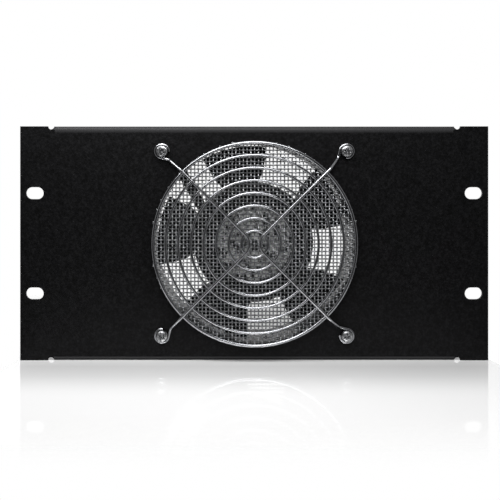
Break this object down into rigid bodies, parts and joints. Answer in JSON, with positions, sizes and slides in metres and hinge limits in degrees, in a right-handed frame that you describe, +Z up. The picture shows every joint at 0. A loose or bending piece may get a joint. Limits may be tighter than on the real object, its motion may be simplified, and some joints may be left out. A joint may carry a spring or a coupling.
{
  "type": "rack fan panel",
  "caption": "Half-width 3U rack panel in black bent steel, with a round wire finger guard and woven screen in front of an axial fan bolted to its rear.",
  "frame": {"origin": "centre of the rack slot pattern, in the plane of the ears' rear faces, on the fan's axis", "axes": "+Z up, the face looks along -Y so +Y points into the rack, +X to the right of someone facing the panel"},
  "size_m": [0.2666, 0.0473, 0.1334],
  "materials": {
    "powder_coated_steel": "fine sandy black powder coat",
    "chrome_wire": "bright chrome-plated wire",
    "screen_wire": "drawn galvanised wire",
    "zinc_fasteners": "bright zinc plate",
    "enamelled_casting": "black enamel on die-cast aluminium",
    "moulded_blades": "black moulded nylon",
    "drawn_cup": "drawn steel",
    "foil": "bare satin foil",
    "bearing_steel": "ground bearing steel",
    "brass_tube": "turned brass",
    "laminations": "stacked electrical steel",
    "cast_bars": "raw pressure-cast aluminium",
    "copper_coils": "enamelled copper windings",
    "insulator_nylon": "natural nylon",
    "lead_jacket": "lead insulation",
    "terminal_plastic": "moulded terminal block",
    "tinned_tabs": "tinned brass"
  },
  "bodies": {
    "root": {"front_panel": "powder_coated_steel", "guard_rings": "chrome_wire", "guard_spoke_left": "chrome_wire", "guard_spoke_right": "chrome_wire", "screen_warp_wires": "screen_wire", "screen_weft_wires": "screen_wire", "guard_screws": "zinc_fasteners", "spring_washers": "zinc_fasteners", "guard_nuts": "zinc_fasteners", "fan_frame": "enamelled_casting", "bearing_tube": "brass_tube", "rear_label": "foil", "front_outer_race": "bearing_steel", "rear_outer_race": "bearing_steel", "preload_washer": "bearing_steel", "stator_core": "laminations", "stator_insulators": "insulator_nylon", "stator_coils": "copper_coils", "motor_leads": "lead_jacket", "terminal_block": "terminal_plastic", "terminal_tabs": "tinned_tabs"},
    "rotor": {"rotor_core": "laminations", "rotor_cage": "cast_bars", "rotor_cup": "drawn_cup", "rotor_badge": "foil", "impeller": "moulded_blades", "motor_shaft": "bearing_steel", "thrust_washers": "insulator_nylon", "retaining_clip": "bearing_steel", "front_inner_race": "bearing_steel", "rear_inner_race": "bearing_steel"},
    "front_ball_set": {"front_bearing_balls": "bearing_steel", "front_ball_cage": "brass_tube"},
    "rear_ball_set": {"rear_bearing_balls": "bearing_steel", "rear_ball_cage": "brass_tube"}
  },
  "joints": [
    {"name": "fan_spin", "type": "hinge", "parent": "root", "child": "rotor", "pos_m": [0, 0, 0], "axis": [0, 1, 0], "continuous": true},
    {"name": "front_ball_spin", "type": "hinge", "parent": "root", "child": "front_ball_set", "pos_m": [0, 0, 0], "axis": [0, 1, 0], "continuous": true},
    {"name": "rear_ball_spin", "type": "hinge", "parent": "root", "child": "rear_ball_set", "pos_m": [0, 0, 0], "axis": [0, 1, 0], "continuous": true}
  ],
  "couplings": [
    {"joint": "front_ball_spin", "follows": "fan_spin", "ratio": 0.35625},
    {"joint": "rear_ball_spin", "follows": "fan_spin", "ratio": 0.35625}
  ]
}
